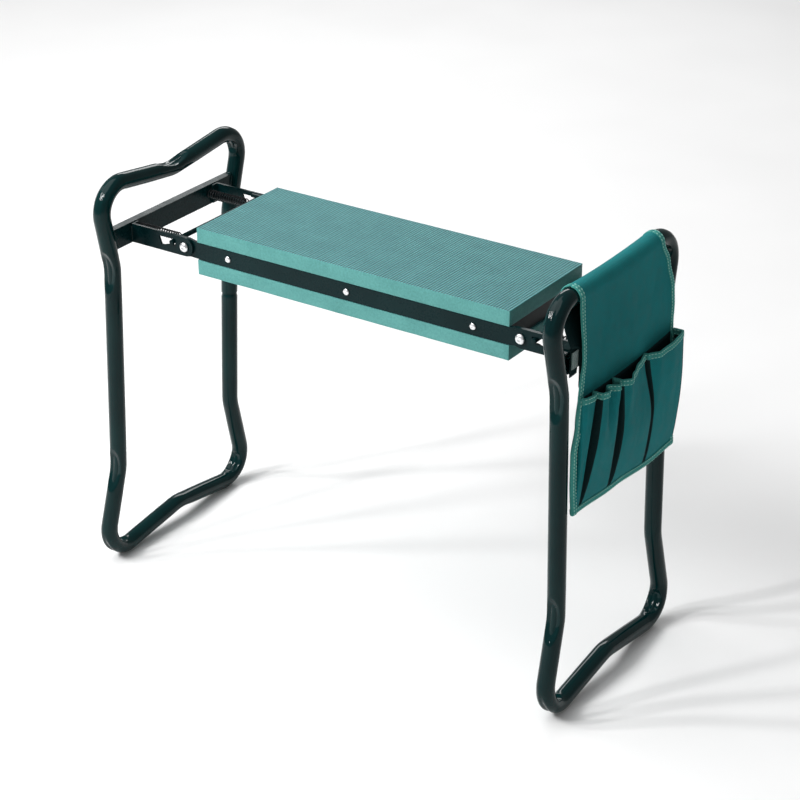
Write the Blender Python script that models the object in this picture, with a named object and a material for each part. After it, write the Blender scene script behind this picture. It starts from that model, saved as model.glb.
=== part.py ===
"""Garden kneeler seat: two fold-in steel tube leg frames, a foam-topped seat board
and a fabric tool bag hung on the right-hand frame. Metres, +Z up, +X along the seat."""
import math

import bmesh
import bpy
from mathutils import Vector
from mathutils.geometry import tessellate_polygon

# ---------------------------------------------------------------- driving constants
GAP = 0.0004                 # running gap between neighbouring pieces
SEAT_X = 0.0042              # seat centre along X, puts the bounding box centre at X = 0
PIVOT_Z = 0.40684            # height of the leg pivots above the floor
PIVOT_X = 0.2150             # pivots from the seat centre

TUBE_R = 0.00975             # leg tube outside radius
TUBE_WALL = 0.0012
FRAME = {                    # per leg: side, bracket length, outward tilt in degrees
    "left": {"side": -1, "reach": 0.0800, "tilt": 2.49},
    "right": {"side": 1, "reach": 0.0620, "tilt": 1.06},
}
HALF_TOP = 0.1292            # virtual corner half-widths of the pinched loop
HALF_WAIST = 0.1050
HALF_FOOT = 0.1367
TOP_H = 0.0695               # heights relative to the pivots
HANDLE_MID_H = 0.0520
WAIST_UP_H = -0.0338
SLIP_H = -0.1400
WAIST_LOW_H = -0.2888
FOOT_MID_H = -0.3843
FOOT_H = -0.4043
CORNER_R = 0.030
FOOT_R = 0.032
BEND_R = 0.055
SWAGE_LEN = 0.018

PAD_HALF_X = 0.2000
PAD_HALF_Y = 0.0737
PAD_TOP_H = 0.0250
PAD_THICK = 0.0174
PAD_BOTTOM_H = -0.0300
RAIL_THICK = 0.0030
RAIL_TOP_H = 0.0073
RAIL_LOW_H = -0.0120
RIVET_X = 0.1570
RIVET_R = 0.0020
BOLT_R = 0.0030
RUNNING = 0.00009             # radial running clearance of a pivot
BOLT_HEAD_R = 0.0056
PLATE = 0.0025               # bracket plate thickness
BRACKET_HALF_H = 0.0110
CROSSBAR_HALF_H = 0.0120
WEB_IN = 0.0040              # crossbar web inner face, inward of the frame plane
CROSSBAR_LIP = 0.0055        # lips' reach outward of the frame plane
ROD_U = 0.0165               # lock rod at rest, outward of the pivot
ROD_H = 0.0025
ROD_R = 0.0028
SPRING_Y = 0.0610
SPRING_R = 0.0043
SPRING_WIRE = 0.0007
SPRING_PITCH = 0.0052

CLOTH = 0.0016
BAG_GAP = 0.0007
BAG_TOP_HALF = 0.0860
SPAN_SAG = 0.0025            # the taut cloth bridges the handle's dip, sagging this much
# the outer panel's front and rear hems and its lower hem: (height or y, y or height)
FRONT_HEM = ((-0.180, -0.0985), (-0.130, -0.1015), (-0.100, -0.1010), (-0.070, -0.0930),
             (-0.025, -0.0850), (0.025, -0.0845), (0.065, -0.0860))
REAR_HEM = ((-0.180, 0.1165), (-0.110, 0.1150), (-0.040, 0.1110), (0.009, 0.1060),
            (0.042, 0.0970), (0.065, 0.0860))
LOW_HEM = ((-0.100, -0.1680), (-0.022, -0.1735), (0.056, -0.1800), (0.117, -0.1785))
FLAP_HALF = 0.0810
FLAP_WIDE = 0.0970           # above the crossbar's straps
FLAP_BOTTOM_H = -0.0330
FLAP_KNEE_H = 0.0160
FLAP_OUT = 0.0083
POCKET_TOP_H = -0.0450
POCKET_ACROSS = (0.0, 0.06, 0.20, 0.50, 0.80, 0.94)
POCKET_BELLY = (0.0, 0.80, 0.95, 1.0, 0.95, 0.80)
POCKETS = (                  # edges across the mouth, across the bottom, puff, shape of the mouth
    (-0.0865, -0.0630, -0.0970, -0.0870, 0.0075, (0.0, 0.45, 0.75, 0.90, 1.0, 0.85)),
    (-0.0630, -0.0230, -0.0870, -0.0260, 0.0140, (0.0, 0.85, 1.0, 0.75, 0.85, 0.90)),
    (-0.0230, 0.0440, -0.0260, 0.0500, 0.0170, (0.0, 0.80, 1.0, 0.70, 0.42, 0.28)),
    (0.0440, 0.1100, 0.0500, 0.1150, 0.0140, (0.0, 0.50, 0.85, 1.0, 0.97, 0.88)),
)
STRAP_Y = 0.0903
STRAP_W = 0.0142
STRAP_TAIL = 0.0030

COLOURS = {                  # base colour, roughness, metallic
    "paint": ((0.010, 0.020, 0.018), 0.22, 0.0),
    "rail_paint": ((0.012, 0.022, 0.020), 0.38, 0.0),
    "zinc": ((0.72, 0.73, 0.74), 0.30, 1.0),
    "spring_steel": ((0.05, 0.05, 0.05), 0.40, 1.0),
    "foam": ((0.060, 0.250, 0.200), 0.75, 0.0),
    "board": ((0.015, 0.015, 0.015), 0.60, 0.0),
    "cloth": ((0.012, 0.095, 0.095), 0.85, 0.0),
    "hook_loop": ((0.020, 0.150, 0.110), 0.95, 0.0),
}


# ---------------------------------------------------------------- helpers
def clear_scene():
    for ob in list(bpy.data.objects):
        bpy.data.objects.remove(ob, do_unlink=True)


def material(key):
    mat = bpy.data.materials.get(key)
    if mat is None:
        colour, rough, metal = COLOURS[key]
        mat = bpy.data.materials.new(key)
        mat.use_nodes = True
        shader = mat.node_tree.nodes["Principled BSDF"]
        shader.inputs["Base Color"].default_value = (*colour, 1.0)
        shader.inputs["Roughness"].default_value = rough
        shader.inputs["Metallic"].default_value = metal
        mat.diffuse_color = (*colour, 1.0)
    return mat


def make_object(name, verts, faces, key, smooth=False):
    mesh = bpy.data.meshes.new(name)
    mesh.from_pydata([tuple(v) for v in verts], [], faces)
    bm = bmesh.new()
    bm.from_mesh(mesh)
    bmesh.ops.recalc_face_normals(bm, faces=bm.faces)
    bm.to_mesh(mesh)
    bm.free()
    for poly in mesh.polygons:
        poly.use_smooth = smooth
    mesh.materials.append(material(key))
    ob = bpy.data.objects.new(name, mesh)
    bpy.context.scene.collection.objects.link(ob)
    return ob


def arc_points(centre, radius, start, end, steps):
    out = []
    for i in range(steps + 1):
        a = start + (end - start) * i / steps
        out.append((centre[0] + radius * math.cos(a), centre[1] + radius * math.sin(a)))
    return out


def filleted(points, radii, steps):
    """Open 2-D path with its inner corners rounded."""
    out = [Vector(points[0])]
    for i in range(1, len(points) - 1):
        p = Vector(points[i])
        a = (Vector(points[i - 1]) - p).normalized()
        b = (Vector(points[i + 1]) - p).normalized()
        half = math.acos(max(-1.0, min(1.0, a.dot(b)))) / 2
        cut = radii[i] / math.tan(half)
        centre = p + (a + b).normalized() * (radii[i] / math.sin(half))
        start = p + a * cut - centre
        end = p + b * cut - centre
        turn = math.pi - 2 * half
        side = 1.0 if start.x * end.y - start.y * end.x > 0 else -1.0
        n = max(2, round(steps * turn / (math.pi / 2)))
        for k in range(n + 1):
            t = side * turn * k / n
            x = start.x * math.cos(t) - start.y * math.sin(t)
            y = start.x * math.sin(t) + start.y * math.cos(t)
            out.append(centre + Vector((x, y)))
    out.append(Vector(points[-1]))
    return out


def prism(name, outline, holes, place, low, high, key):
    """Plate with holes: 2-D outline in (a, b), extruded from low to high along c."""
    loops = [outline] + list(holes)
    flat = [p for loop in loops for p in loop]
    tris = tessellate_polygon([[Vector((p[0], p[1], 0.0)) for p in loop] for loop in loops])
    n = len(flat)
    verts = [place(p[0], p[1], low) for p in flat] + [place(p[0], p[1], high) for p in flat]
    faces = [tuple(t) for t in tris] + [tuple(i + n for i in reversed(t)) for t in tris]
    first = 0
    for loop in loops:
        m = len(loop)
        for i in range(m):
            a = first + i
            b = first + (i + 1) % m
            faces.append((a, b, b + n, a + n))
        first += m
    return make_object(name, verts, faces, key)


def lathe(name, profile, centre, axis, sides, key, turn=0.0):
    """Body of revolution about an axis along Y; profile is (radius, distance) pairs."""
    verts = []
    for r, d in profile:
        for k in range(sides):
            a = 2 * math.pi * k / sides + turn
            y = centre[1] + axis * d
            verts.append((centre[0] + r * math.cos(a), y, centre[2] + r * math.sin(a)))
    faces = []
    for j in range(len(profile) - 1):
        for k in range(sides):
            m = (k + 1) % sides
            faces.append((j * sides + k, j * sides + m, (j + 1) * sides + m, (j + 1) * sides + k))
    faces.append(tuple(range(sides)))
    faces.append(tuple(range((len(profile) - 1) * sides, len(profile) * sides)))
    return make_object(name, verts, faces, key)


def circle(a, b, r, sides=16):
    return [(a + r * math.cos(2 * math.pi * k / sides), b + r * math.sin(2 * math.pi * k / sides))
            for k in range(sides)]


def sheet_solid(name, rows, thickness, key):
    """Closed thin solid from a grid of mid-surface points and their normals."""
    nr = len(rows)
    nc = len(rows[0])
    upper = [[p + n * (thickness / 2) for p, n in row] for row in rows]
    lower = [[p - n * (thickness / 2) for p, n in row] for row in rows]
    verts = [p for row in upper for p in row] + [p for row in lower for p in row]
    off = nr * nc
    faces = []
    for i in range(nr - 1):
        for j in range(nc - 1):
            a = i * nc + j
            quad = (a, a + 1, a + nc + 1, a + nc)
            faces.append(quad)
            faces.append(tuple(v + off for v in reversed(quad)))
    rim = [j for j in range(nc)] + [i * nc + nc - 1 for i in range(1, nr)]
    rim += [(nr - 1) * nc + j for j in range(nc - 2, -1, -1)]
    rim += [i * nc for i in range(nr - 2, 0, -1)]
    for k, a in enumerate(rim):
        b = rim[(k + 1) % len(rim)]
        faces.append((a, b, b + off, a + off))
    return make_object(name, verts, faces, key)


# ---------------------------------------------------------------- leg frame geometry
def leg_place(leg):
    """Maps (u outward, y, h above the pivot) of an upright leg to the world."""
    side = leg["side"]

    def place(u, y, h):
        return Vector((SEAT_X + side * (PIVOT_X + u), y, PIVOT_Z + h))
    return place


def plane_u(leg, h):
    """Outward distance of the tilted frame plane from the pivot at height h."""
    return leg["reach"] - h * math.tan(math.radians(leg["tilt"]))


def loop_path():
    foot = FOOT_H
    points = [
        (HALF_WAIST, SLIP_H + SWAGE_LEN),
        (HALF_WAIST, WAIST_LOW_H), (HALF_FOOT, foot), (0.0, FOOT_MID_H), (-HALF_FOOT, foot),
        (-HALF_WAIST, WAIST_LOW_H), (-HALF_WAIST, WAIST_UP_H), (-HALF_TOP, TOP_H),
        (0.0, HANDLE_MID_H), (HALF_TOP, TOP_H), (HALF_WAIST, WAIST_UP_H),
        (HALF_WAIST, SLIP_H),
    ]
    radii = [0, BEND_R, FOOT_R, BEND_R, FOOT_R, BEND_R, BEND_R, CORNER_R, BEND_R, CORNER_R,
             BEND_R, 0]
    return filleted(points, radii, 6)


def tube_loop(name, leg):
    path = loop_path()
    swage_out = TUBE_R - TUBE_WALL - 0.00035
    swage_in = swage_out - TUBE_WALL
    # the swaged end slips up inside the other end of the same bent tube
    start = path[0]
    path = [start, Vector((start.x, SLIP_H - 0.0010)), Vector((start.x, SLIP_H - 0.0050))] + path[1:]
    outer = [swage_out, swage_out] + [TUBE_R] * (len(path) - 2)
    inner = [swage_in, swage_in] + [TUBE_R - TUBE_WALL] * (len(path) - 2)
    place = leg_place(leg)
    sides = 14
    verts = []
    for radii in (outer, inner):
        for i, p in enumerate(path):
            before = path[max(i - 1, 0)]
            after = path[min(i + 1, len(path) - 1)]
            t = (after - before).normalized()
            n = Vector((t.y, -t.x))
            for k in range(sides):
                a = 2 * math.pi * (k + 0.5) / sides
                q = p + n * (radii[i] * math.cos(a))
                verts.append(place(plane_u(leg, q.y) + radii[i] * math.sin(a), q.x, q.y))
    count = len(path)
    faces = []
    for shell in range(2):
        base = shell * count * sides
        for i in range(count - 1):
            for k in range(sides):
                m = (k + 1) % sides
                quad = (base + i * sides + k, base + i * sides + m,
                        base + (i + 1) * sides + m, base + (i + 1) * sides + k)
                faces.append(quad if shell == 0 else tuple(reversed(quad)))
    for i in (0, count - 1):
        for k in range(sides):
            m = (k + 1) % sides
            a = i * sides
            b = count * sides + i * sides
            faces.append((a + k, a + m, b + m, b + k))
    return make_object(name, verts, faces, "paint")


def crossbar(name, leg):
    """U-channel welded between the legs, lips outward, ends cut to the legs' slope."""
    slope = (HALF_TOP - HALF_WAIST) / (TOP_H - WAIST_UP_H)
    half = HALF_WAIST + (0.0 - WAIST_UP_H) * slope - TUBE_R / math.cos(math.atan(slope)) - 0.0005
    u_in = leg["reach"] - WEB_IN
    u_out = leg["reach"] + CROSSBAR_LIP
    t = 0.0020
    h = CROSSBAR_HALF_H
    section = [(u_in, -h), (u_out, -h), (u_out, -h + t), (u_in + t, -h + t),
               (u_in + t, h - t), (u_out, h - t), (u_out, h), (u_in, h)]
    place = leg_place(leg)
    verts = []
    for side in (-1, 1):
        for u, z in section:
            verts.append(place(u, side * (half + z * slope), z))
    n = len(section)
    faces = [(i, (i + 1) % n, n + (i + 1) % n, n + i) for i in range(n)]
    for base in (0, n):
        faces.append((base, base + 1, base + 2, base + 3))
        faces.append((base, base + 3, base + 4, base + 7))
        faces.append((base + 4, base + 5, base + 6, base + 7))
    return make_object(name, verts, faces, "paint")


def boolean(target, cutter, operation):
    mod = target.modifiers.new("cut", "BOOLEAN")
    mod.operation = operation
    mod.solver = "EXACT"
    mod.object = cutter
    bpy.context.view_layer.update()
    graph = bpy.context.evaluated_depsgraph_get()
    mesh = bpy.data.meshes.new_from_object(target.evaluated_get(graph))
    target.modifiers.clear()
    old = target.data
    target.data = mesh
    bpy.data.meshes.remove(old)
    bpy.data.objects.remove(cutter, do_unlink=True)
    return target


def window_outline():
    """Lock window: level top edge, rod slot at the inner end, widening towards its far end."""
    return [(0.0129, 0.0058), (0.0129, -0.0008), (0.0200, -0.0012), (0.0300, -0.0042),
            (0.0330, -0.0042), (0.0362, 0.0050), (0.0355, 0.0058)]


def bracket(name, leg, end):
    """Plate from the crossbar to the pivot with the lock window and a foot on the web."""
    y_in = PAD_HALF_Y + GAP
    y_out = y_in + PLATE
    u_end = leg["reach"] - WEB_IN - 0.0003
    h = BRACKET_HALF_H
    place = leg_place(leg)
    bend = 0.0020
    corner = arc_points((u_end - bend, y_out - bend), bend, 0.0, math.pi / 2, 3)
    plan = [(-0.02, y_in), (u_end - PLATE, y_in), (u_end - PLATE, y_in - 0.0075),
            (u_end, y_in - 0.0075)] + corner + [(-0.02, y_out)]
    plan = [(u, end * y) for u, y in plan]
    body = prism(name, plan, [], place, -h - 0.004, h + 0.004, "paint")
    nose = arc_points((0.0, 0.0), h, math.pi / 2, 3 * math.pi / 2, 12)
    profile = [(u_end + 0.002, h)] + nose + [(u_end + 0.002, -h)]
    holes = [circle(0.0, 0.0, BOLT_R + RUNNING, 24), window_outline()]

    def side_place(u, z, y):
        return place(u, y, z)
    low, high = sorted((end * (y_in - 0.02), end * (y_out + 0.005)))
    shape = prism("shape", profile, holes, side_place, low, high, "paint")
    return boolean(body, shape, "INTERSECT")


def spring(name, leg, y):
    """Lock return spring between the crossbar web and the lock rod."""
    place = leg_place(leg)
    start = ROD_U + ROD_R + GAP + SPRING_WIRE
    end = leg["reach"] - WEB_IN - GAP - SPRING_WIRE
    turns = (end - start) / SPRING_PITCH
    steps = round(turns * 8)
    sides = 5
    verts = []
    for i in range(steps + 1):
        a = 2 * math.pi * turns * i / steps
        u = start + (end - start) * i / steps
        radial = Vector((0.0, math.cos(a), math.sin(a)))
        for k in range(sides):
            b = 2 * math.pi * k / sides
            r = SPRING_R + SPRING_WIRE * math.cos(b)
            du = SPRING_WIRE * math.sin(b)
            verts.append(place(u + du, y + radial.y * r, ROD_H + radial.z * r))
    faces = []
    for i in range(steps):
        for k in range(sides):
            m = (k + 1) % sides
            faces.append((i * sides + k, i * sides + m, (i + 1) * sides + m, (i + 1) * sides + k))
    faces.append(tuple(range(sides)))
    faces.append(tuple(range(steps * sides, steps * sides + sides)))
    return make_object(name, verts, faces, "spring_steel")


def lock_rod(name, leg):
    """Plain rod across both bracket windows, ends chamfered."""
    place = leg_place(leg)
    half = PAD_HALF_Y + GAP + PLATE + 0.0030
    c = 0.0006
    profile = [(ROD_R - c, 0.0), (ROD_R, c), (ROD_R, 2 * half - c), (ROD_R - c, 2 * half)]
    centre = place(ROD_U, -half, ROD_H)
    return lathe(name, profile, centre, 1, 14, "paint", math.pi / 14)


def build_leg(side_name):
    leg = FRAME[side_name]
    tube_loop(side_name + "_tube_frame", leg)
    crossbar(side_name + "_crossbar", leg)
    for end_name, end in (("front", -1), ("rear", 1)):
        bracket(side_name + "_" + end_name + "_bracket", leg, end)
        spring(side_name + "_" + end_name + "_lock_spring", leg, end * SPRING_Y)
    lock_rod(side_name + "_lock_rod", leg)


# ---------------------------------------------------------------- seat
def rail_outline():
    """Flat bar with a round nose at each pivot and a stop hook over each lock rod."""
    top = RAIL_TOP_H
    low = RAIL_LOW_H
    right = [(-0.030, low), (-0.006, -0.0110)]
    right += arc_points((0.0, 0.0), 0.0125, -math.pi / 2, -0.10, 6)
    right += [(0.0132, 0.0), (0.0132, 0.0061), (0.0205, 0.0061), (0.0212, 0.0068),
              (0.0200, 0.0102), (-0.004, 0.0102), (-0.018, top), (-0.030, top)]
    end = [(PIVOT_X + u, h) for u, h in right]
    return end + [(-x, h) for x, h in reversed(end)]


def rail(name, end):
    y0 = end * (PAD_HALF_Y - RAIL_THICK)
    y1 = end * PAD_HALF_Y
    holes = [circle(side * PIVOT_X, 0.0, BOLT_R + RUNNING, 24) for side in (-1, 1)]
    mid = (RAIL_TOP_H + RAIL_LOW_H) / 2
    holes += [circle(x, mid, RIVET_R + 0.0003, 12) for x in (-RIVET_X, 0.0, RIVET_X)]

    def place(x, h, y):
        return Vector((SEAT_X + x, y, PIVOT_Z + h))
    low, high = sorted((y0, y1))
    return prism(name, rail_outline(), holes, place, low, high, "rail_paint")


def slab(name, half_x, half_y, low, high, corner, edge, key):
    """Rounded slab with softened top and bottom edges."""
    def ring(inset, h):
        pts = []
        r = corner - inset
        for q, (sx, sy) in enumerate(((1, 1), (-1, 1), (-1, -1), (1, -1))):
            cx = sx * (half_x - corner)
            cy = sy * (half_y - corner)
            for a, b in arc_points((cx, cy), r, q * math.pi / 2, (q + 1) * math.pi / 2, 4):
                pts.append(Vector((SEAT_X + a, b, PIVOT_Z + h)))
        return pts
    rings = [ring(edge, low), ring(edge * 0.3, low + edge * 0.3), ring(0.0, low + edge),
             ring(0.0, high - edge), ring(edge * 0.3, high - edge * 0.3), ring(edge, high)]
    n = len(rings[0])
    verts = [p for r in rings for p in r]
    faces = [tuple(range(n)), tuple(range(n * (len(rings) - 1), n * len(rings)))]
    for j in range(len(rings) - 1):
        for k in range(n):
            m = (k + 1) % n
            faces.append((j * n + k, j * n + m, (j + 1) * n + m, (j + 1) * n + k))
    return make_object(name, verts, faces, key)


def seat_board():
    """Moulded board between the pads, cored from its rails' sides by the rivet holes."""
    low = PAD_BOTTOM_H + PAD_THICK + GAP
    high = PAD_TOP_H - PAD_THICK - GAP
    half_y = PAD_HALF_Y - RAIL_THICK - GAP
    board = slab("seat_board", PAD_HALF_X - 0.003, half_y, low, high, 0.004, 0.001, "board")
    mid = (RAIL_TOP_H + RAIL_LOW_H) / 2
    for end in (-1, 1):
        for x in (-RIVET_X, 0.0, RIVET_X):
            centre = (SEAT_X + x, end * (half_y - 0.0125), PIVOT_Z + mid)
            profile = [(RIVET_R + 0.0003, 0.0), (RIVET_R + 0.0003, 0.02)]
            cutter = lathe("cutter", profile, centre, end, 12, "board", 0.1)
            boolean(board, cutter, "DIFFERENCE")
    return board


def rivet(name, x, end):
    mid = (RAIL_TOP_H + RAIL_LOW_H) / 2
    face = PAD_HALF_Y + 0.0003
    centre = (SEAT_X + x, end * face, PIVOT_Z + mid)
    profile = [(RIVET_R * 0.8, -0.0150), (RIVET_R, -0.0142), (RIVET_R, 0.0),
               (0.0036, 0.0), (0.0036, 0.0003), (0.0029, 0.0010), (0.0016, 0.0014)]
    return lathe(name, profile, centre, end, 12, "zinc", 0.1)


def pivot_set(prefix, side, end):
    """Shouldered pivot bolt through bracket and rail, washer and nut on the inside."""
    x = SEAT_X + side * PIVOT_X
    face = PAD_HALF_Y + GAP + PLATE + 0.0003
    centre = (x, end * face, PIVOT_Z)
    r = BOLT_HEAD_R
    inner = PAD_HALF_Y - RAIL_THICK
    shank = face - (inner - 0.0085)
    profile = [(BOLT_R - 0.0005, -shank), (BOLT_R, -shank + 0.0005), (BOLT_R, 0.0), (r, 0.0),
               (r, 0.0012), (r * 0.93, 0.0022), (r * 0.72, 0.0030), (r * 0.35, 0.0034)]
    lathe(prefix + "_pivot_bolt", profile, centre, end, 24, "zinc")
    washer = [(BOLT_R + 0.0003, 0.0), (0.0062, 0.0), (0.0062, 0.0010), (BOLT_R + 0.0003, 0.0010)]
    ring_body(prefix + "_washer", washer, (x, end * (inner - 0.0014), PIVOT_Z), end, 16)
    nut = [(BOLT_R + 0.0003, 0.0), (0.0058, 0.0), (0.0058, 0.0048), (BOLT_R + 0.0003, 0.0048)]
    ring_body(prefix + "_nut", nut, (x, end * (inner - 0.0066), PIVOT_Z), end, 6)


def ring_body(name, profile, centre, axis, sides):
    """Ring whose outside has the given number of flats; the bore stays round."""
    verts = []
    bore = 12
    for r, d in (profile[0], profile[3]):
        for k in range(bore):
            a = 2 * math.pi * k / bore
            verts.append((centre[0] + r * math.cos(a), centre[1] + axis * d,
                          centre[2] + r * math.sin(a)))
    for r, d in (profile[1], profile[2]):
        for k in range(sides):
            a = 2 * math.pi * k / sides
            verts.append((centre[0] + r * math.cos(a), centre[1] + axis * d,
                          centre[2] + r * math.sin(a)))
    inner = [Vector(verts[k]).xz for k in range(bore)]
    outer = [Vector(verts[2 * bore + k]).xz for k in range(sides)]
    tris = tessellate_polygon([[p.to_3d() for p in outer], [p.to_3d() for p in inner]])

    def low_id(i):
        return 2 * bore + i if i < sides else i - sides

    def high_id(i):
        return 2 * bore + sides + i if i < sides else bore + i - sides
    faces = [tuple(low_id(i) for i in t) for t in tris]
    faces += [tuple(high_id(i) for i in reversed(t)) for t in tris]
    for k in range(bore):
        m = (k + 1) % bore
        faces.append((k, m, bore + m, bore + k))
    for k in range(sides):
        m = (k + 1) % sides
        a = 2 * bore
        faces.append((a + k, a + m, a + sides + m, a + sides + k))
    return make_object(name, verts, faces, "zinc")


def build_seat():
    slab("top_foam_pad", PAD_HALF_X, PAD_HALF_Y, PAD_TOP_H - PAD_THICK, PAD_TOP_H,
         0.0040, 0.0012, "foam")
    slab("bottom_foam_pad", PAD_HALF_X, PAD_HALF_Y, PAD_BOTTOM_H, PAD_BOTTOM_H + PAD_THICK,
         0.0040, 0.0012, "foam")
    seat_board()
    for end_name, end in (("front", -1), ("rear", 1)):
        rail(end_name + "_seat_rail", end)
        for label, x in (("left", -RIVET_X), ("mid", 0.0), ("right", RIVET_X)):
            rivet(end_name + "_" + label + "_rivet", x, end)
        for side_name in ("left", "right"):
            pivot_set(side_name + "_" + end_name, FRAME[side_name]["side"], end)


# ---------------------------------------------------------------- tool bag
def handle_h(y):
    """Height of the handle's centre line at y, between its two corner bends."""
    slope = (TOP_H - HANDLE_MID_H) / HALF_TOP
    ease = BEND_R * math.sin(math.atan(slope)) * 1.1
    if abs(y) < ease:
        return HANDLE_MID_H + slope * (y * y + ease * ease) / (2 * ease)
    return HANDLE_MID_H + slope * abs(y)


def lerp(a, b, t):
    return a + (b - a) * t


def through(points, x):
    """Straight interpolation through (x, value) pairs sorted by x."""
    for (x0, v0), (x1, v1) in zip(points, points[1:]):
        if x <= x1:
            return lerp(v0, v1, max(0.0, (x - x0) / (x1 - x0)))
    return points[-1][1]


def cloth_h(y):
    """Height of the fold's centre at y: the cloth rests on the handle only near its two hems."""
    return handle_h(BAG_TOP_HALF) - SPAN_SAG * (1 - (y / BAG_TOP_HALF) ** 2)


def flap_profile(y, r):
    """Inner flap at y as (outward offset, height, normal angle) points, lowest first.
    It leaves the handle at a tangent, passes over the crossbar and hangs outside it."""
    dx = FLAP_OUT
    dz = handle_h(y) - FLAP_KNEE_H
    length = math.sqrt(dx * dx + dz * dz - r * r)
    lean = math.atan2(dx, dz) + math.atan2(r, length)
    a = -math.pi / 2
    points = [(dx, FLAP_BOTTOM_H, a), (dx, -0.012, a), (dx, FLAP_KNEE_H - 0.005, a),
              (dx, FLAP_KNEE_H, a - lean / 2)]
    for f in (0.3, 0.65):
        u = dx - length * f * math.sin(lean)
        points.append((u, FLAP_KNEE_H + length * f * math.cos(lean), a - lean))
    return points, a - lean


def bag_panel():
    """One cloth piece over the handle: inner flap, top bend, outer back panel."""
    leg = FRAME["right"]
    place = leg_place(leg)
    r = TUBE_R + BAG_GAP + CLOTH / 2
    cols = 12
    bend_steps = 8
    panel_steps = 9
    table = []
    for j in range(cols + 1):
        t = -1 + 2 * j / cols
        y_top = t * BAG_TOP_HALF
        column = []
        profile, start = flap_profile(y_top, r)
        halves = (FLAP_HALF, FLAP_HALF, FLAP_HALF, FLAP_WIDE, FLAP_WIDE, lerp(FLAP_WIDE, BAG_TOP_HALF, 0.5))
        for (u, h, a), half in zip(profile, halves):
            column.append((u, t * half, h, a))
        for a in (start, lerp(start, -math.pi / 2, 0.6)):
            column.append((r * math.sin(a), y_top, handle_h(y_top) + r * math.cos(a), a))
        for k in range(bend_steps + 1):
            a = lerp(0.12 - math.pi / 2, math.pi / 2, k / bend_steps)
            column.append((r * math.sin(a), y_top, cloth_h(y_top) + r * math.cos(a), a))
        for k in range(1, panel_steps + 1):
            f = k / panel_steps
            h = lerp(cloth_h(y_top), through(LOW_HEM, y_top * 1.3), f)
            y = lerp(through(FRONT_HEM, h), through(REAR_HEM, h), (t + 1) / 2)
            column.append((r, y, h, math.pi / 2))
        table.append(column)
    rows = []
    for k in range(len(table[0])):
        row = []
        for column in table:
            u, y, h, a = column[k]
            row.append((place(plane_u(leg, h) + u, y, h), Vector((math.sin(a), 0.0, math.cos(a)))))
        rows.append(row)
    return sheet_solid("tool_bag_panel", rows, CLOTH, "cloth")


def pocket_panel():
    """Four pleated pockets in one strip, seamed at the pleats, sides and bottom."""
    leg = FRAME["right"]
    place = leg_place(leg)
    base = TUBE_R + BAG_GAP + CLOTH + GAP + CLOTH / 2
    rows = []
    steps = 8
    for i in range(steps + 1):
        v = i / steps
        spread = math.sin(v * math.pi / 2) ** 0.8
        row = []
        columns = []
        for t0, t1, b0, b1, puff, mouth in POCKETS:
            for s, belly, lip in zip(POCKET_ACROSS, POCKET_BELLY, mouth):
                w = lerp(belly, lip, max(0.0, 2 * v - 1))
                columns.append((lerp(lerp(b0, b1, s), lerp(t0, t1, s), v), w * puff * spread))
        last = POCKETS[-1]
        columns.append((lerp(last[3], last[1], v), 0.0))
        for y, out in columns:
            top = POCKET_TOP_H + 0.0050 * (y / 0.11) ** 2
            h = lerp(through(LOW_HEM, y) + 0.0020, top, v)
            p = place(plane_u(leg, h) + base + out, y, h)
            row.append(p)
        rows.append(row)
    grid = []
    for i, row in enumerate(rows):
        out_row = []
        for j, p in enumerate(row):
            a = row[max(j - 1, 0)]
            b = row[min(j + 1, len(row) - 1)]
            c = rows[max(i - 1, 0)][j]
            d = rows[min(i + 1, len(rows) - 1)][j]
            n = (b - a).cross(d - c).normalized()
            if n.x < 0:
                n = -n
            if j % 6 == 0 or i == 0:
                n = Vector((1.0, 0.0, 0.0))
            out_row.append((p, n))
        grid.append(out_row)
    return sheet_solid("tool_bag_pockets", grid, CLOTH * 0.8, "cloth")


def strap(name, y):
    """Tie strap of the bag, wrapped once round the crossbar with its tail hanging."""
    leg = FRAME["right"]
    place = leg_place(leg)
    t = 0.0012
    u0 = leg["reach"] - WEB_IN - GAP
    u1 = leg["reach"] + CROSSBAR_LIP + GAP
    h = CROSSBAR_HALF_H + GAP
    tail = -h - t - STRAP_TAIL
    outline = [(u0 - t, -h - t), (u1, -h - t), (u1, tail), (u1 + t, tail), (u1 + t, h + t),
               (u0 - t, h + t)]
    hole = [(u0, -h), (u1, -h), (u1, h), (u0, h)]

    def side_place(u, z, yy):
        return place(u, yy, z)
    prism(name, outline, [hole], side_place, y - STRAP_W / 2, y + STRAP_W / 2, "cloth")
    patch = [(u1 + t + 0.0003, -0.0085), (u1 + t + 0.0015, -0.0085),
             (u1 + t + 0.0015, 0.0095), (u1 + t + 0.0003, 0.0095)]
    half = STRAP_W / 2 - 0.0010
    patch_name = name.replace("strap", "hook_patch")
    prism(patch_name, patch, [], side_place, y - half, y + half, "hook_loop")


def build_bag():
    bag_panel()
    pocket_panel()
    strap("tool_bag_front_strap", -STRAP_Y)
    strap("tool_bag_rear_strap", STRAP_Y)


clear_scene()
build_seat()
build_leg("left")
build_leg("right")
build_bag()
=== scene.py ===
"""Garden kneeler seat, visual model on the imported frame."""
import math

import bmesh
import bpy
from mathutils import Matrix, Vector, noise


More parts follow.
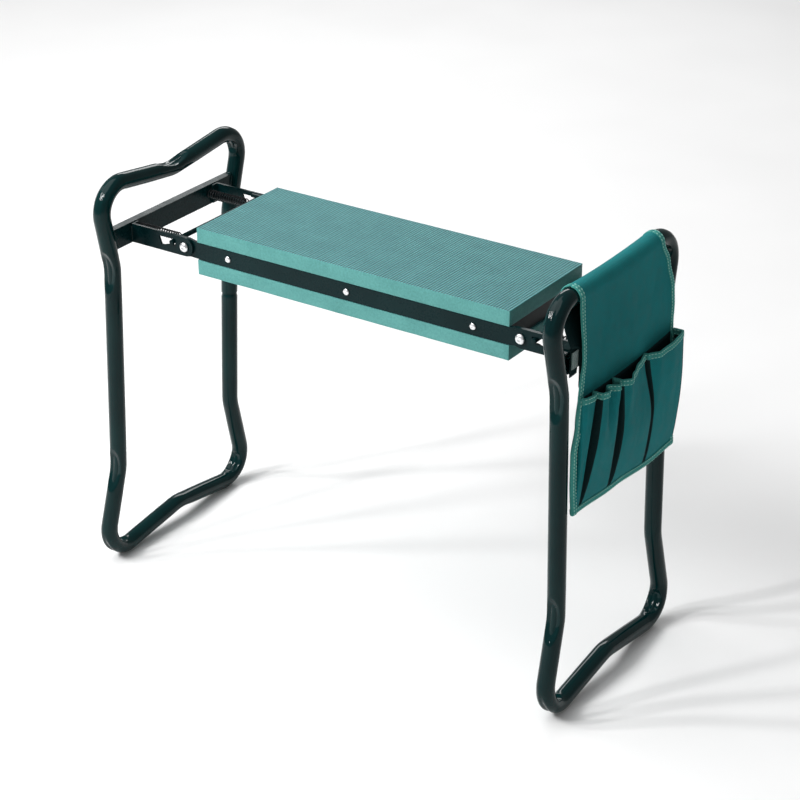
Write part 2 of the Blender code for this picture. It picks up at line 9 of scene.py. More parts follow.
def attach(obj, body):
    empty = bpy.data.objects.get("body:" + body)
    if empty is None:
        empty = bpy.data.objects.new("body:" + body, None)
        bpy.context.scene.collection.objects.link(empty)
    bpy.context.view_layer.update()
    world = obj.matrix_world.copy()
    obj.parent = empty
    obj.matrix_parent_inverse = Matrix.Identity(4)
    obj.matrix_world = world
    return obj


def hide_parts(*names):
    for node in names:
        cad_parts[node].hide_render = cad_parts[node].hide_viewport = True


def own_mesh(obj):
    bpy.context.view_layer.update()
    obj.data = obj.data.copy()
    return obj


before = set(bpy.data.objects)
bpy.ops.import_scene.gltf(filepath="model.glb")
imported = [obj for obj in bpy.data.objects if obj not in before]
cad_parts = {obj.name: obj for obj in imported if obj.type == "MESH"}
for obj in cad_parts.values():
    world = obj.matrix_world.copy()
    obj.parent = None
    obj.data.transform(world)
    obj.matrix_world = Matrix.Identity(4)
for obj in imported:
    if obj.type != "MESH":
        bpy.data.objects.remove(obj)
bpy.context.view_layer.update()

# ---------------- sizes shared with the CAD model
SEAT_X = 0.0042
PIVOT_Z = 0.40684
PIVOT_X = 0.2150
TUBE_R = 0.00975
TUBE_WALL = 0.0012
LEGS = {"left": (-1, 0.0800, 2.49), "right": (1, 0.0620, 1.06)}
HALF_TOP, HALF_WAIST, HALF_FOOT = 0.1292, 0.1050, 0.1367
TOP_H, HANDLE_MID_H, WAIST_UP_H = 0.0695, 0.0520, -0.0338
SLIP_H, WAIST_LOW_H, FOOT_MID_H, FOOT_H = -0.1400, -0.2888, -0.3843, -0.4043
CORNER_R, FOOT_R, BEND_R = 0.030, 0.032, 0.055
SWAGE_LEN = 0.018
PAD_HALF_X, PAD_HALF_Y = 0.2000, 0.0737
PAD_TOP_H, PAD_BOTTOM_H, PAD_THICK = 0.0250, -0.0300, 0.0174
RAIL_MID_H = -0.00235
RAIL_THICK = 0.0030
RIVET_X = 0.1570
PLATE = 0.0025
GAP = 0.0004
WEB_IN = 0.0040
CROSSBAR_HALF_H = 0.0120
CROSSBAR_LIP = 0.0055
ROD_U, ROD_H, ROD_R = 0.0165, 0.0025, 0.0028
SPRING_Y, SPRING_R, SPRING_WIRE = 0.0610, 0.0043, 0.0007
BAG_TOP_HALF = 0.0860
SPAN_SAG = 0.0025
FLAP_BOTTOM_H, FLAP_KNEE_H, FLAP_OUT = -0.0330, 0.0160, 0.0083
FLAP_HALF, FLAP_WIDE = 0.0810, 0.0970
POCKET_TOP_H = -0.0450
STRAP_Y = 0.0903

# ---------------- sizes of the visual layer only
TUBE_SIDES = 72
SLIP_CLEARANCE = 0.00035         # between the swaged end and the tube it slides into
PRESS_MARKS = {                  # half length and depth of the die's mark inside each kind of bend
    "waist": (0.0275, 0.0043), "mid": (0.0275, 0.0043),
    "top": (0.0190, 0.0042), "foot": (0.0210, 0.0042),
}
WELD_STEP = 0.0006
SPRING_PITCH = 0.0034
FOAM_CORNER, FOAM_EDGE = 0.0016, 0.0009
FASTENER_GAP = 0.0003            # under the head of a bolt or a rivet
BOLT_R, BOLT_HEAD_R, BOLT_TAIL = 0.0030, 0.0056, 0.0085
RIVET_R, RIVET_HEAD_R, RIVET_DEPTH = 0.0020, 0.0036, 0.0150
CLOTH_T = 0.0010
BAG_R = TUBE_R + 0.0007 + 0.0008 # mid-surface of the cloth off the tube's axis
STRIP_U = BAG_R + 0.0024         # mid-surface of the pocket strip where it is sewn down
# thickness and lift off the panel of the near-black sheet of painted shade inside the pockets
SHADE_SHEET_T, SHADE_SHEET_LIFT = 0.0004, 0.0012
TAPE_WIDTH, MOUTH_TAPE_WIDTH = 0.0070, 0.0066
STITCH_PITCH, STITCH_R = 0.0038, 0.00050
STRAP_T, STRAP_WIDTH, STRAP_TAIL = 0.0012, 0.0142, 0.0030
FLOOR_HALF, FLOOR_Z = 6.0, -0.0006


# ---------------- small maths
def lerp(a, b, t):
    return a + (b - a) * t


def smooth(t):
    t = max(0.0, min(1.0, t))
    return t * t * (3 - 2 * t)


def curve(points, x):
    """Smooth interpolation through (x, value) pairs sorted by x."""
    if x <= points[0][0]:
        return points[0][1]
    for (x0, v0), (x1, v1) in zip(points, points[1:]):
        if x <= x1:
            return lerp(v0, v1, smooth((x - x0) / (x1 - x0)))
    return points[-1][1]


def leg_point(side_name, u, y, h, on_plane=True):
    """World point from the offset off a leg's tilted plane, across and above the pivots."""
    side, reach, tilt = LEGS[side_name]
    base = reach - h * math.tan(math.radians(tilt)) if on_plane else 0.0
    return Vector((SEAT_X + side * (PIVOT_X + base + u), y, PIVOT_Z + h))


# ---------------- materials
class Nodes:
    """Short names for building one material's node tree."""

    def __init__(self, name):
        self.mat = bpy.data.materials.new(name)
        self.mat.use_nodes = True
        self.tree = self.mat.node_tree
        self.shader = self.tree.nodes["Principled BSDF"]
        self.coord = self.tree.nodes.new("ShaderNodeTexCoord").outputs["Object"]

    def set(self, **values):
        for key, value in values.items():
            self.shader.inputs[key.replace("_", " ")].default_value = value

    def link(self, a, b):
        self.tree.links.new(a, b)

    def node(self, kind, inputs=(), **props):
        n = self.tree.nodes.new("ShaderNode" + kind)
        for key, value in props.items():
            setattr(n, key, value)
        for key, value in dict(inputs).items():
            if hasattr(value, "is_linked"):
                self.link(value, n.inputs[key])
            else:
                n.inputs[key].default_value = value
        return n

    def math(self, op, a, b=0.0):
        return self.node("Math", {0: a, 1: b}, operation=op).outputs[0]

    def noise(self, scale, detail=3.0, rough=0.5, vector=None):
        n = self.node("TexNoise", {"Scale": scale, "Detail": detail, "Roughness": rough,
                                   "Vector": vector or self.coord})
        return n.outputs["Fac"]

    def ramp(self, fac, stops):
        n = self.node("ValToRGB", {"Fac": fac})
        els = n.color_ramp.elements
        els[0].position, els[0].color = stops[0][0], (*stops[0][1], 1.0)
        els[1].position, els[1].color = stops[-1][0], (*stops[-1][1], 1.0)
        return n.outputs["Color"]

    def range(self, value, a, b, c, d):
        n = self.node("MapRange", {"Value": value, "From Min": a, "From Max": b,
                                   "To Min": c, "To Max": d})
        return n.outputs["Result"]

    def bump(self, height, strength, distance, normal=None):
        ins = {"Height": height, "Strength": strength, "Distance": distance}
        if normal is not None:
            ins["Normal"] = normal
        return self.node("Bump", ins).outputs["Normal"]

    def out(self, color, rough=None, normal=None):
        self.link(color, self.shader.inputs["Base Color"])
        if rough is not None:
            self.link(rough, self.shader.inputs["Roughness"])
        if normal is not None:
            self.link(normal, self.shader.inputs["Normal"])
        return self.mat


def paint_material(name, dark, light, rough_low, rough_high, gloss):
    n = Nodes(name)
    n.set(Metallic=0.0, Specular_IOR_Level=gloss)
    drift = n.noise(14.0, 3.0)
    fine = n.noise(420.0, 2.0, 0.6)
    peel = n.noise(160.0, 1.0, 0.4)
    scuff = n.noise(60.0, 6.0, 0.75)
    color = n.ramp(drift, [(0.35, dark), (0.65, light)])
    rough = n.range(n.math("ADD", n.math("MULTIPLY", scuff, 0.7), n.math("MULTIPLY", fine, 0.3)),
                    0.35, 0.70, rough_low, rough_high)
    normal = n.bump(peel, 0.12, 0.0006)
    normal = n.bump(fine, 0.05, 0.0003, normal)
    return n.out(color, rough, normal)


def zinc_material():
    n = Nodes("bright_zinc")
    n.set(Metallic=1.0)
    cloudy = n.noise(240.0, 4.0, 0.6)
    grain = n.noise(1400.0, 2.0)
    color = n.ramp(cloudy, [(0.3, (0.66, 0.67, 0.68)), (0.7, (0.84, 0.85, 0.86))])
    rough = n.range(cloudy, 0.3, 0.7, 0.22, 0.40)
    return n.out(color, rough, n.bump(grain, 0.10, 0.0002))


def spring_material():
    n = Nodes("spring_steel")
    n.set(Metallic=0.85)
    cloudy = n.noise(300.0, 3.0)
    color = n.ramp(cloudy, [(0.3, (0.008, 0.009, 0.010)), (0.7, (0.025, 0.027, 0.029))])
    return n.out(color, n.range(cloudy, 0.3, 0.7, 0.30, 0.50), n.bump(cloudy, 0.1, 0.0002))


def foam_material(name, dark, light, woven):
    """Closed-cell foam: a fine embossed weave on the broad faces, cut cells on the edges."""
    n = Nodes(name)
    n.set(Roughness=0.55, Specular_IOR_Level=0.25, Sheen_Weight=0.08, Sheen_Roughness=0.5)
    n.shader.inputs["Sheen Tint"].default_value = (0.75, 1.0, 0.95, 1.0)
    cells = n.node("TexVoronoi", {"Scale": 900.0, "Vector": n.coord}).outputs["Distance"]
    mottled = n.noise(35.0, 5.0, 0.6)
    speck = n.noise(420.0, 2.0, 0.7)
    tone = n.math("ADD", n.math("MULTIPLY", mottled, 0.40), n.math("MULTIPLY", speck, 0.60))
    color = n.ramp(tone, [(0.32, dark), (0.68, light)])
    normal = n.bump(cells, 0.22, 0.0004)
    if woven:
        pos = n.node("SeparateXYZ", {"Vector": n.coord})
        x, y = pos.outputs["X"], pos.outputs["Y"]
        k = math.pi / WEAVE_PITCH
        a = n.math("SINE", n.math("MULTIPLY", n.math("ADD", x, y), k))
        b = n.math("SINE", n.math("MULTIPLY", n.math("SUBTRACT", x, y), k))
        weave = n.math("MULTIPLY", a, b)
        normal = n.bump(weave, 0.70, 0.0010, normal)
        # painted shade and highlight: the colour darkens in the weave's grooves and lightens on its
        # ridges, in step with the bump
        weave_shading = n.range(weave, -0.8, 0.8, 0.22, 1.70)
        mul = n.node("Mix", {"Factor": 1.0}, data_type="RGBA", blend_type="MULTIPLY")
        n.link(color, mul.inputs[6])
        grey = n.node("CombineColor", {0: weave_shading, 1: weave_shading, 2: weave_shading})
        n.link(grey.outputs[0], mul.inputs[7])
        color = mul.outputs[2]
    return n.out(color, None, normal)


def cloth_material(name, dark, light, pitch=0.0011, sheen=0.04):
    """Plain-woven polyester cloth, coordinates along the cloth's own height and width."""
    n = Nodes(name)
    n.set(Specular_IOR_Level=0.12, Sheen_Weight=sheen, Sheen_Roughness=0.45)
    n.shader.inputs["Sheen Tint"].default_value = (0.55, 0.95, 0.95, 1.0)
    pos = n.node("SeparateXYZ", {"Vector": n.coord})
    k = math.pi / pitch
    warp = n.math("SINE", n.math("MULTIPLY", pos.outputs["Y"], k))
    weft = n.math("SINE", n.math("MULTIPLY", pos.outputs["Z"], k))
    over = n.math("MULTIPLY", warp, weft)
    slub = n.noise(90.0, 4.0, 0.6)
    cloudy = n.noise(11.0, 4.0, 0.55)
    tone = n.math("ADD", n.math("MULTIPLY", over, 0.16),
                  n.math("ADD", n.math("MULTIPLY", slub, 0.45), n.math("MULTIPLY", cloudy, 0.55)))
    color = n.ramp(tone, [(0.25, dark), (0.75, light)])
    normal = n.bump(n.math("ABSOLUTE", over), 0.35, 0.0004)
    normal = n.bump(slub, 0.15, 0.0008, normal)
    rough = n.range(slub, 0.3, 0.7, 0.72, 0.92)
    return n.out(color, rough, normal)


def fuzzy_material():
    n = Nodes("hook_loop")
    n.set(Sheen_Weight=0.6, Sheen_Roughness=0.6)
    fuzz = n.noise(1500.0, 3.0, 0.8)
    color = n.ramp(fuzz, [(0.3, (0.004, 0.045, 0.040)), (0.7, (0.016, 0.12, 0.10))])
    return n.out(color, n.range(fuzz, 0.3, 0.7, 0.85, 1.0), n.bump(fuzz, 0.8, 0.0008))


def board_material():
    n = Nodes("board_plastic")
    grain = n.noise(700.0, 3.0, 0.6)
    color = n.ramp(grain, [(0.3, (0.008, 0.010, 0.010)), (0.7, (0.020, 0.022, 0.022))])
    return n.out(color, n.range(grain, 0.3, 0.7, 0.45, 0.65), n.bump(grain, 0.25, 0.0003))


def floor_material():
    n = Nodes("floor")
    soft = n.noise(3.0, 2.0)
    color = n.ramp(soft, [(0.3, (0.86, 0.86, 0.86)), (0.7, (0.89, 0.89, 0.89))])
    return n.out(color, n.range(soft, 0.3, 0.7, 0.75, 0.85))


WEAVE_PITCH = 0.0033
MATS = {
    "paint": paint_material("gloss_green_black", (0.0005, 0.0125, 0.0135), (0.0012, 0.0190, 0.0195),
                            0.03, 0.09, 0.16),
    "rail": paint_material("satin_green_black", (0.0006, 0.0100, 0.0112), (0.0016, 0.0155, 0.0168),
                           0.22, 0.38, 0.10),
    "zinc": zinc_material(),
    "spring": spring_material(),
    "foam_top": foam_material("foam_woven", (0.045, 0.174, 0.183), (0.078, 0.265, 0.272), True),
    "foam_edge": foam_material("foam_cut", (0.062, 0.230, 0.215), (0.105, 0.335, 0.315), False),
    "cloth": cloth_material("bag_cloth", (0.0030, 0.115, 0.122), (0.0085, 0.188, 0.198)),
    # near-black cloth: the tie straps and the bag's inner face are this colour; on the walls between
    # the pockets, inside the pockets and on the flap's binding it is painted shade
    "dark_cloth_and_shade": cloth_material("bag_dark_cloth_and_shade", (0.0010, 0.010, 0.011), (0.0025, 0.018, 0.019), sheen=0.0),
    "tape": cloth_material("bag_tape", (0.0300, 0.200, 0.180), (0.0650, 0.300, 0.265), 0.0008, 0.05),
    "thread": cloth_material("bag_thread", (0.240, 0.520, 0.450), (0.340, 0.640, 0.560), 0.0004, 0.05),
    "hook": fuzzy_material(),
    "board": board_material(),
    "floor": floor_material(),
}


# ---------------- mesh building
def make_piece(name, verts, faces, mat, body, smooth_angle=None):
    """Mesh object of one material that rides on a body."""
    mesh = bpy.data.meshes.new(name)
    mesh.from_pydata([tuple(v) for v in verts], [], faces)
    bm = bmesh.new()
    bm.from_mesh(mesh)
    bmesh.ops.recalc_face_normals(bm, faces=bm.faces)
    bm.to_mesh(mesh)
    bm.free()
    mesh.materials.append(MATS[mat])
    ob = bpy.data.objects.new(name, mesh)
    bpy.context.scene.collection.objects.link(ob)
    if smooth_angle is None:
        mesh.shade_smooth()
    else:
        shade_by_angle(ob, smooth_angle)
    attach(ob, body)
    return ob


def shade_by_angle(ob, degrees):
    mesh = ob.data
    mesh.shade_smooth()
    bm = bmesh.new()
    bm.from_mesh(mesh)
    limit = math.radians(degrees)
    for e in bm.edges:
        e.smooth = len(e.link_faces) == 2 and e.calc_face_angle(0.0) < limit
    bm.to_mesh(mesh)
    bm.free()


def merge(parts):
    """Joins (verts, faces) lists into one."""
    verts, faces = [], []
    for v, f in parts:
        off = len(verts)
        verts += v
        faces += [tuple(i + off for i in face) for face in f]
    return verts, faces


def tube_faces(count, sides):
    """Quads of an open tube of count rings, sides points in each."""
    faces = []
    for i in range(count - 1):
        j = i + 1
        for k in range(sides):
            m = (k + 1) % sides
            faces.append((i * sides + k, i * sides + m, j * sides + m, j * sides + k))
    return faces


def end_caps(count, sides):
    """Faces that close both ends of such a tube."""
    return [tuple(range(sides)), tuple(range((count - 1) * sides, count * sides))]


def lathe_mesh(profile, centre, axis, sides):
    """Revolved (radius, distance) profile about an axis along Y, with a fan over each end."""
    verts = []
    for r, d in profile:
        for k in range(sides):
            a = 2 * math.pi * k / sides
            verts.append(Vector((centre[0] + r * math.cos(a), centre[1] + axis * d,
                                 centre[2] + r * math.sin(a))))
    faces = tube_faces(len(profile), sides)
    for ring in (0, len(profile) - 1):
        verts.append(Vector((centre[0], centre[1] + axis * profile[ring][1], centre[2])))
        c = len(verts) - 1
        for k in range(sides):
            faces.append((ring * sides + k, ring * sides + (k + 1) % sides, c))
    return verts, faces


def sheet_mesh(rows, thickness):
    """Closed thin body from a grid of mid-surface points; normals come from the grid."""
    nr, nc = len(rows), len(rows[0])
    normals = []
    for i in range(nr):
        line = []
        for j in range(nc):
            a = rows[i][max(j - 1, 0)]
            b = rows[i][min(j + 1, nc - 1)]
            c = rows[max(i - 1, 0)][j]
            d = rows[min(i + 1, nr - 1)][j]
            line.append((b - a).cross(d - c).normalized())
        normals.append(line)
    half = thickness / 2
    verts = [rows[i][j] + normals[i][j] * half for i in range(nr) for j in range(nc)]
    verts += [rows[i][j] - normals[i][j] * half for i in range(nr) for j in range(nc)]
    off = nr * nc
    faces = []
    for i in range(nr - 1):
        for j in range(nc - 1):
            a = i * nc + j
            quad = (a, a + 1, a + nc + 1, a + nc)
            faces.append(quad)
            faces.append(tuple(v + off for v in reversed(quad)))
    rim = list(range(nc)) + [i * nc + nc - 1 for i in range(1, nr)]
    rim += [(nr - 1) * nc + j for j in range(nc - 2, -1, -1)]
    rim += [i * nc for i in range(nr - 2, 0, -1)]
    for k, a in enumerate(rim):
        b = rim[(k + 1) % len(rim)]
        faces.append((a, b, b + off, a + off))
    return verts, faces


# ---------------- leg tubes
def loop_path():
    """The bent tube's centre line in its own plane, with the bends it passes.
    Returns points (across, height) every 2 to 3 mm, and bends as (index, inward, kind)."""
    corners = [
        (HALF_WAIST, SLIP_H + SWAGE_LEN, 0, ""),
        (HALF_WAIST, WAIST_LOW_H, BEND_R, "waist"), (HALF_FOOT, FOOT_H, FOOT_R, "foot"),
        (0.0, FOOT_MID_H, BEND_R, "mid"), (-HALF_FOOT, FOOT_H, FOOT_R, "foot"),
        (-HALF_WAIST, WAIST_LOW_H, BEND_R, "waist"),
        (-HALF_WAIST, WAIST_UP_H, BEND_R, "waist"), (-HALF_TOP, TOP_H, CORNER_R, "top"),
        (0.0, HANDLE_MID_H, BEND_R, "mid"), (HALF_TOP, TOP_H, CORNER_R, "top"),
        (HALF_WAIST, WAIST_UP_H, BEND_R, "waist"), (HALF_WAIST, SLIP_H, 0, ""),
    ]
    raw = [Vector(corners[0][:2])]
    marks = []
    for i in range(1, len(corners) - 1):
        p = Vector(corners[i][:2])
        radius = corners[i][2]
        a = (Vector(corners[i - 1][:2]) - p).normalized()
        b = (Vector(corners[i + 1][:2]) - p).normalized()
        half = math.acos(a.dot(b)) / 2
        cut = radius / math.tan(half)
        centre = p + (a + b).normalized() * (radius / math.sin(half))
        start = p + a * cut - centre
        end = p + b * cut - centre
        turn = math.pi - 2 * half
        side = 1.0 if start.x * end.y - start.y * end.x > 0 else -1.0
        n = max(6, round(radius * turn / 0.0018))
        marks.append((len(raw) + n // 2, (a + b).normalized(), corners[i][3]))
        for k in range(n + 1):
            t = side * turn * k / n
            raw.append(centre + Vector((start.x * math.cos(t) - start.y * math.sin(t),
                                        start.x * math.sin(t) + start.y * math.cos(t))))
    raw.append(Vector(corners[-1][:2]))
    points = [raw[0]]
    index_of = {0: 0}
    for i in range(1, len(raw)):
        a, b = raw[i - 1], raw[i]
        step = 0.0030 if (b - a).length > 0.12 else 0.0020
        n = max(1, round((b - a).length / step))
        for k in range(1, n + 1):
            points.append(a.lerp(b, k / n))
        index_of[i] = len(points) - 1
    bends = [(index_of[i], inward, kind) for i, inward, kind in marks]
    return points, bends


def press_mark(ds, da, length, depth):
    """Drop of the wall under an oval die pressed on the tube's side, ds along and da round it."""
    if abs(ds) >= length or abs(da) > 1.4:
        return 0.0
    d = depth * (1 - abs(ds / length) ** 2.6)
    flat = (TUBE_R - d) / math.cos(da)
    if flat >= TUBE_R:
        return 0.0
    edge = math.acos(max(-1.0, (TUBE_R - d) / TUBE_R))
    dish = 0.25 * d * (1 - (da / edge) ** 2)
    return TUBE_R - flat + dish


def bend_shape(kind, ds, da):
    """Change of the tube's radius near one bend; da is 0 on the inside of the bend."""
    away = math.pi - abs(da)
    dr = -press_mark(ds, da, *PRESS_MARKS[kind])
    if kind in ("waist", "mid"):
        return dr - 0.0011 * math.exp(-(ds / 0.028) ** 2 - (away / 0.8) ** 2)
    if kind == "top":
        ribs = math.cos(away * 2 * math.pi / 0.52) * math.exp(-(away / 1.15) ** 4)
        dr -= 0.0007 * math.exp(-(ds / 0.018) ** 2 - (away / 0.6) ** 2)
        dr += 0.00016 * ribs * math.exp(-(ds / 0.013) ** 2)
        return dr + 0.0004 * math.exp(-(ds / 0.018) ** 2) * math.sin(da) ** 2
    # a foot bend: a groove round its outside between two swollen cheeks
    dr -= 0.0034 * math.exp(-(ds / 0.015) ** 2 - (away / 0.30) ** 2)
    return dr + 0.0011 * math.exp(-(ds / 0.018) ** 2) * math.sin(da) ** 4


def tube_frame(side_name):
    """One leg's bent tube, hollow, with its narrowed end in the slip joint."""
    points, bends = loop_path()
    count = len(points)
    run = [0.0]
    for a, b in zip(points, points[1:]):
        run.append(run[-1] + (b - a).length)
    tangents = []
    for i in range(count):
        t = points[min(i + 1, count - 1)] - points[max(i - 1, 0)]
        tangents.append(t.normalized())
    swage_out = TUBE_R - TUBE_WALL - SLIP_CLEARANCE
    sides = TUBE_SIDES
    bore = 0.72                  # inner skin's radius as a share of the tube's own bore
    start_plain = SWAGE_LEN + 0.0010
    outer, inner = [], []
    for i, p in enumerate(points):
        s = run[i]
        plain = smooth((s - start_plain) / 0.0045)
        base = lerp(swage_out, TUBE_R, plain)
        t = tangents[i]
        n = Vector((t.y, -t.x))
        ring = []
        for k in range(sides):
            a = 2 * math.pi * (k + 0.5) / sides
            r = base
            for index, inward, kind in bends:
                ds = s - run[index]
                if abs(ds) > 0.060:
                    continue
                toward = 0.0 if n.dot(inward) > 0 else math.pi
                da = (a - toward + math.pi) % (2 * math.pi) - math.pi
                r += bend_shape(kind, ds, da)
            q = p + n * (r * math.cos(a))
            ring.append(leg_point(side_name, r * math.sin(a), q.x, q.y))
        outer += ring
        core = (base - TUBE_WALL) * bore
        for k in range(sides):
            a = 2 * math.pi * (k + 0.5) / sides
            q = p + n * (core * math.cos(a))
            inner.append(leg_point(side_name, core * math.sin(a), q.x, q.y))
    faces = tube_faces(count, sides)
    off = count * sides
    faces += [tuple(v + off for v in reversed(f)) for f in tube_faces(count, sides)]
    for i in (0, count - 1):
        for k in range(sides):
            m = (k + 1) % sides
            faces.append((i * sides + k, i * sides + m, off + i * sides + m, off + i * sides + k))
    ob = make_piece(side_name + "_leg_tube", outer + inner, faces, "paint", side_name + "_leg",
                    50)
    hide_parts(side_name + "_tube_frame")


def weld_bead(path, radius):
    """Rippled weld bead along world points, lying half in the corner it fills."""
    fine = []
    for a, b in zip(path, path[1:]):
        n = max(2, round((b - a).length / WELD_STEP))
        fine += [a.lerp(b, k / n) for k in range(n)]
    fine.append(path[-1])
    sides = 10
    verts = []
    for i, p in enumerate(fine):
        t = (fine[min(i + 1, len(fine) - 1)] - fine[max(i - 1, 0)]).normalized()
        ref = Vector((0.31, 0.27, 0.91)) if abs(t.z) < 0.8 else Vector((0.9, 0.3, 0.1))
        n = t.cross(ref).normalized()
        b = t.cross(n)
        ends = min(1.0, 0.35 + min(i, len(fine) - 1 - i) / 3.0)
        r = radius * ends * (1.0 + 0.16 * math.sin(i * 1.9) + 0.05 * math.sin(i * 0.7))
        for k in range(sides):
            a = 2 * math.pi * k / sides
            verts.append(p + n * (r * math.cos(a)) + b * (r * math.sin(a)))
    return verts, tube_faces(len(fine), sides) + end_caps(len(fine), sides)


def leg_welds(side_name):
    """Beads where the crossbar meets the legs and where the brackets' feet meet the web."""
    reach = LEGS[side_name][1]
    slope = (HALF_TOP - HALF_WAIST) / (TOP_H - WAIST_UP_H)
    half = HALF_WAIST - WAIST_UP_H * slope - TUBE_R / math.cos(math.atan(slope)) - 0.0006
    h = CROSSBAR_HALF_H
    parts = []

    def bead(radius, u, y, heights):
        line = [leg_point(side_name, reach + u, y, z, False) for z in heights]
        parts.append(weld_bead(line, radius))

    def lip_bead(y, z):
        line = [leg_point(side_name, reach + u, y, z, False) for u in (-0.0035, 0.0, 0.0045)]
        parts.append(weld_bead(line, 0.0014))

    for end in (-1, 1):
        web = [leg_point(side_name, reach - WEB_IN, end * (half + z * slope), z, False)
               for z in (-h + 0.001, 0.0, h - 0.001)]
        parts.append(weld_bead(web, 0.0016))
        lip_bead(end * (half + h * slope + 0.0002), h)
        lip_bead(end * (half - h * slope + 0.0002), -h)
        bead(0.0011, -WEB_IN - 0.0004, end * (PAD_HALF_Y + GAP - 0.0075), (-0.008, 0.0, 0.008))
        bead(0.0012, -WEB_IN - 0.0006, end * (PAD_HALF_Y + GAP + PLATE - 0.0004),
             (-0.009, 0.0, 0.009))
    verts, faces = merge(parts)
    make_piece(side_name + "_weld_beads", verts, faces, "paint", side_name + "_leg")


def lock_rod(side_name):
    """Round rod across both brackets, its ends rounded off."""
    half = PAD_HALF_Y + GAP + PLATE + 0.0030
    c = 0.0006
    profile = [(ROD_R - c, 0.0), (ROD_R - c * 0.3, c * 0.3), (ROD_R, c), (ROD_R, 2 * half - c),
               (ROD_R - c * 0.3, 2 * half - c * 0.3), (ROD_R - c, 2 * half)]
    centre = leg_point(side_name, ROD_U, -half, ROD_H, False)
    verts, faces = lathe_mesh(profile, centre, 1, 32)
    ob = make_piece(side_name + "_lock_bar", verts, faces, "rail", side_name + "_lock", 40)
    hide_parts(side_name + "_lock_rod")


def lock_spring(side_name, end_name, end):
    """Open coil spring from the crossbar web to the lock rod, pressed short as the rod slides."""
    start = ROD_U + ROD_R + GAP + SPRING_WIRE
    finish = LEGS[side_name][1] - WEB_IN - GAP - SPRING_WIRE
    turns = (finish - start) / SPRING_PITCH
    steps = round(turns * 18)
    sides = 8
    verts = []
    for i in range(steps + 1):
        f = i / steps
        a = 2 * math.pi * turns * f
        # the pitch changes slightly from end to end
        g = f + 0.005 * math.sin(2 * math.pi * f)
        u = start + (finish - start) * g
        for k in range(sides):
            b = 2 * math.pi * k / sides
            r = SPRING_R + SPRING_WIRE * math.cos(b)
            y = end * SPRING_Y + r * math.cos(a)
            verts.append(leg_point(side_name, u + SPRING_WIRE * math.sin(b), y,
                                   ROD_H + r * math.sin(a), False))
    faces = tube_faces(steps + 1, sides) + end_caps(steps + 1, sides)
    name = side_name + "_" + end_name
    ob = make_piece(name + "_coil_spring", verts, faces, "spring", side_name + "_leg")
    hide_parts(name + "_lock_spring")
    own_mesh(ob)


def plate_finish(node_name, mat, width):
    """Softens a CAD plate's edges and gives it its finish."""
    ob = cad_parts[node_name]
    ob.data.materials.clear()
    ob.data.materials.append(MATS[mat])
    mod = ob.modifiers.new("edge", "BEVEL")
    mod.width = width
    mod.segments = 2
    mod.limit_method = "ANGLE"
    mod.angle_limit = math.radians(40)


# ---------------- seat
def foam_pad(name, low_h, woven_up, node):
    """Foam slab with softened edges and slightly uneven sides; woven_up says which face is sat on."""
    top = PIVOT_Z + low_h + PAD_THICK
    low = PIVOT_Z + low_h
    nx, ny, nz = 100, 38, 8
    hx, hy = PAD_HALF_X, PAD_HALF_Y
    corner, edge = FOAM_CORNER, FOAM_EDGE
    index = {}
    verts = []
    faces = []
    mats = []

    def shape(i, j, k):
        x = lerp(-hx, hx, i / nx)
        y = lerp(-hy, hy, j / ny)
        z = lerp(low, top, k / nz)
        cx = max(-hx + corner, min(hx - corner, x))
        cy = max(-hy + corner, min(hy - corner, y))
        d = Vector((x - cx, y - cy))
        if d.length > corner:
            d = d.normalized() * corner
            x, y = cx + d.x, cy + d.y
        mid = (top + low) / 2
        half = (top - low) / 2
        rise = abs(z - mid) - (half - edge)
        border = min(hx - abs(x), hy - abs(y))
        if border < edge and rise > 0:
            q = Vector((edge - border, rise))
            if q.length > edge:
                q = q.normalized() * edge
            pull = edge - border - q.x
            if hx - abs(x) < hy - abs(y):
                x -= math.copysign(pull, x)
            else:
                y -= math.copysign(pull, y)
            z = mid + math.copysign(half - edge + q.y, z - mid)
        p = Vector((x, y, z))
        wobble = noise.noise(p * 28.0) * 0.00035 + noise.noise(p * 90.0) * 0.00012
        face_in = Vector((0.0, 0.0, 0.0))
        if i in (0, nx):
            face_in.x = -math.copysign(1.0, x)
        if j in (0, ny):
            face_in.y = -math.copysign(1.0, y)
        p += face_in * abs(wobble)
        seat_face = k == nz if woven_up else k == 0
        if seat_face and 0 < i < nx and 0 < j < ny:
            p.z += -abs(wobble) * (1.0 if woven_up else -1.0)
        p.x += SEAT_X
        return p

    def vert(i, j, k):
        key = (i, j, k)
        if key not in index:
            index[key] = len(verts)
            verts.append(shape(i, j, k))
        return index[key]

    def face(mat, *corners):
        faces.append(tuple(vert(*c) for c in corners))
        mats.append(mat)

    for i in range(nx):
        for j in range(ny):
            face(0, (i, j, nz), (i + 1, j, nz), (i + 1, j + 1, nz), (i, j + 1, nz))
            face(0, (i, j, 0), (i, j + 1, 0), (i + 1, j + 1, 0), (i + 1, j, 0))
    for k in range(nz):
        for i in range(nx):
            face(1, (i, 0, k), (i + 1, 0, k), (i + 1, 0, k + 1), (i, 0, k + 1))
            face(1, (i, ny, k), (i, ny, k + 1), (i + 1, ny, k + 1), (i + 1, ny, k))
        for j in range(ny):
            face(1, (0, j, k), (0, j, k + 1), (0, j + 1, k + 1), (0, j + 1, k))
            face(1, (nx, j, k), (nx, j + 1, k), (nx, j + 1, k + 1), (nx, j, k + 1))
    ob = make_piece(name, verts, faces, "foam_top", "seat", 60)
    ob.data.materials.append(MATS["foam_edge"])
    for poly, m in zip(ob.data.polygons, mats):
        poly.material_index = m
    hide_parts(node)


